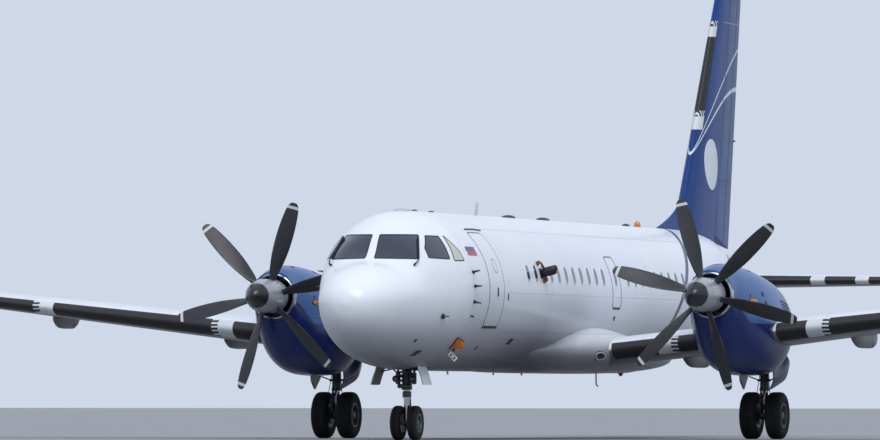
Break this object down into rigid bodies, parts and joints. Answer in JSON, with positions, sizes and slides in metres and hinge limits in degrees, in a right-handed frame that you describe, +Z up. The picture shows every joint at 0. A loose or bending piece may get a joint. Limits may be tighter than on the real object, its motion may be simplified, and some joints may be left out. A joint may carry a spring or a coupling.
{
  "type": "twin-turboprop regional airliner",
  "caption": "Low-wing twin-turboprop airliner on tricycle gear with twin wheels, six-blade propellers, swept fin with double rudder, hinged elevators, ailerons and flaps.",
  "frame": {"origin": "on the ground, under the centre of the overall box", "axes": "+X to port along the span, +Y aft, +Z up"},
  "size_m": [29.9824, 26.8798, 9.32],
  "materials": {
    "white_paint": "gloss",
    "blue_paint": "gloss",
    "wing_paint": "satin",
    "propeller_blade": "satin",
    "spinner_grey": "satin",
    "gear_steel": "satin",
    "wheel_grey": "satin",
    "tyre_rubber": "matte",
    "engine_metal": "satin"
  },
  "bodies": {
    "airframe": {"radome": "white_paint", "forward_fuselage": "white_paint", "cabin_front": "white_paint", "entry_door": "white_paint", "cabin_rear": "white_paint", "rear_fuselage": "white_paint", "tail_cone": "white_paint", "belly_fairing": "white_paint", "nose_strut": "gear_steel", "fin": "blue_paint", "cowling_port": "blue_paint", "cowling_starboard": "blue_paint", "engine_block_port": "engine_metal", "engine_block_starboard": "engine_metal", "gear_nacelle_port": "blue_paint", "gear_nacelle_starboard": "blue_paint", "wing_inner_port": "wing_paint", "wing_inner_starboard": "wing_paint", "wing_outer_port": "wing_paint", "wing_outer_starboard": "wing_paint", "main_leg_port": "gear_steel", "main_leg_starboard": "gear_steel", "main_door_inner_port": "blue_paint", "main_door_inner_starboard": "blue_paint", "main_door_outer_port": "blue_paint", "main_door_outer_starboard": "blue_paint", "tailplane_port": "wing_paint", "tailplane_starboard": "wing_paint", "nose_door_port": "white_paint", "nose_door_starboard": "white_paint"},
    "nose_steering": {"nose_steering_leg": "gear_steel"},
    "nose_wheels": {"nose_hubs": "wheel_grey", "nose_tyre_port": "tyre_rubber", "nose_tyre_starboard": "tyre_rubber"},
    "rudder": {"rudder": "blue_paint"},
    "rudder_trailing_part": {"rudder_trailing_part": "blue_paint"},
    "main_wheels_port": {"main_hubs_port": "wheel_grey", "main_tyre_inner_port": "tyre_rubber", "main_tyre_outer_port": "tyre_rubber"},
    "propeller_port": {"propeller_port": "propeller_blade", "spinner_port": "spinner_grey"},
    "elevator_port": {"elevator_port": "wing_paint"},
    "aileron_port": {"aileron_port": "wing_paint"},
    "flap_inner_port": {"flap_inner_port": "wing_paint"},
    "flap_outer_port": {"flap_outer_port": "wing_paint"},
    "main_wheels_starboard": {"main_hubs_starboard": "wheel_grey", "main_tyre_inner_starboard": "tyre_rubber", "main_tyre_outer_starboard": "tyre_rubber"},
    "propeller_starboard": {"propeller_starboard": "propeller_blade", "spinner_starboard": "spinner_grey"},
    "elevator_starboard": {"elevator_starboard": "wing_paint"},
    "aileron_starboard": {"aileron_starboard": "wing_paint"},
    "flap_inner_starboard": {"flap_inner_starboard": "wing_paint"},
    "flap_outer_starboard": {"flap_outer_starboard": "wing_paint"}
  },
  "joints": [
    {"name": "nose_steer", "type": "hinge", "parent": "airframe", "child": "nose_steering", "pos_m": [0, -9.76, 0.9], "axis": [0, 0, 1], "range_deg": [-55, 55]},
    {"name": "nose_wheel_roll", "type": "hinge", "parent": "nose_steering", "child": "nose_wheels", "pos_m": [0, -9.76, 0.31], "axis": [1, 0, 0], "continuous": true},
    {"name": "main_wheel_roll_port", "type": "hinge", "parent": "airframe", "child": "main_wheels_port", "pos_m": [4.2, -0.63, 0.44], "axis": [1, 0, 0], "continuous": true},
    {"name": "main_wheel_roll_starboard", "type": "hinge", "parent": "airframe", "child": "main_wheels_starboard", "pos_m": [-4.2, -0.63, 0.44], "axis": [1, 0, 0], "continuous": true},
    {"name": "propeller_spin_port", "type": "hinge", "parent": "airframe", "child": "propeller_port", "pos_m": [4.2, -4.9, 2.65], "axis": [0, 1, 0], "continuous": true},
    {"name": "propeller_spin_starboard", "type": "hinge", "parent": "airframe", "child": "propeller_starboard", "pos_m": [-4.2, -4.9, 2.65], "axis": [0, 1, 0], "continuous": true},
    {"name": "rudder_hinge", "type": "hinge", "parent": "airframe", "child": "rudder", "pos_m": [0, 11.45233, 6.4], "axis": [0, 0.308, 0.9514], "range_deg": [-25, 25]},
    {"name": "rudder_trailing_hinge", "type": "hinge", "parent": "rudder", "child": "rudder_trailing_part", "pos_m": [0, 12.29667, 6.4], "axis": [0, 0.2511, 0.968], "range_deg": [-15, 15]},
    {"name": "elevator_hinge_port", "type": "hinge", "parent": "airframe", "child": "elevator_port", "pos_m": [3.1, 11.77286, 3.125], "axis": [0.9994, 0.0333, 0], "range_deg": [-15, 25]},
    {"name": "elevator_hinge_starboard", "type": "hinge", "parent": "airframe", "child": "elevator_starboard", "pos_m": [-3.1, 11.77286, 3.125], "axis": [0.9994, -0.0333, 0], "range_deg": [-15, 25]},
    {"name": "aileron_hinge_port", "type": "hinge", "parent": "airframe", "child": "aileron_port", "pos_m": [12.05127, -1.07181, 2.76214], "axis": [0.9891, -0.0947, 0.1131], "range_deg": [-20, 20]},
    {"name": "aileron_hinge_starboard", "type": "hinge", "parent": "airframe", "child": "aileron_starboard", "pos_m": [-12.05127, -1.07181, 2.76214], "axis": [0.9891, 0.0947, -0.1131], "range_deg": [-20, 20]},
    {"name": "flap_inner_hinge_port", "type": "hinge", "parent": "airframe", "child": "flap_inner_port", "pos_m": [2.74097, -0.2676, 1.37564], "axis": [0.9941, 0, 0.1089], "range_deg": [-35, 0]},
    {"name": "flap_inner_hinge_starboard", "type": "hinge", "parent": "airframe", "child": "flap_inner_starboard", "pos_m": [-2.74097, -0.2676, 1.37564], "axis": [0.9941, 0, -0.1089], "range_deg": [-35, 0]},
    {"name": "flap_outer_hinge_port", "type": "hinge", "parent": "airframe", "child": "flap_outer_port", "pos_m": [7.40466, -0.50348, 1.89843], "axis": [0.9891, -0.0947, 0.1131], "range_deg": [-35, 0]},
    {"name": "flap_outer_hinge_starboard", "type": "hinge", "parent": "airframe", "child": "flap_outer_starboard", "pos_m": [-7.40466, -0.50348, 1.89843], "axis": [0.9891, 0.0947, -0.1131], "range_deg": [-35, 0]}
  ],
  "couplings": [
    {"joint": "rudder_trailing_hinge", "follows": "rudder_hinge", "ratio": 0.6},
    {"joint": "elevator_hinge_starboard", "follows": "elevator_hinge_port", "ratio": 1},
    {"joint": "aileron_hinge_starboard", "follows": "aileron_hinge_port", "ratio": -1},
    {"joint": "flap_inner_hinge_starboard", "follows": "flap_inner_hinge_port", "ratio": 1},
    {"joint": "flap_outer_hinge_port", "follows": "flap_inner_hinge_port", "ratio": 1},
    {"joint": "flap_outer_hinge_starboard", "follows": "flap_inner_hinge_port", "ratio": 1}
  ]
}
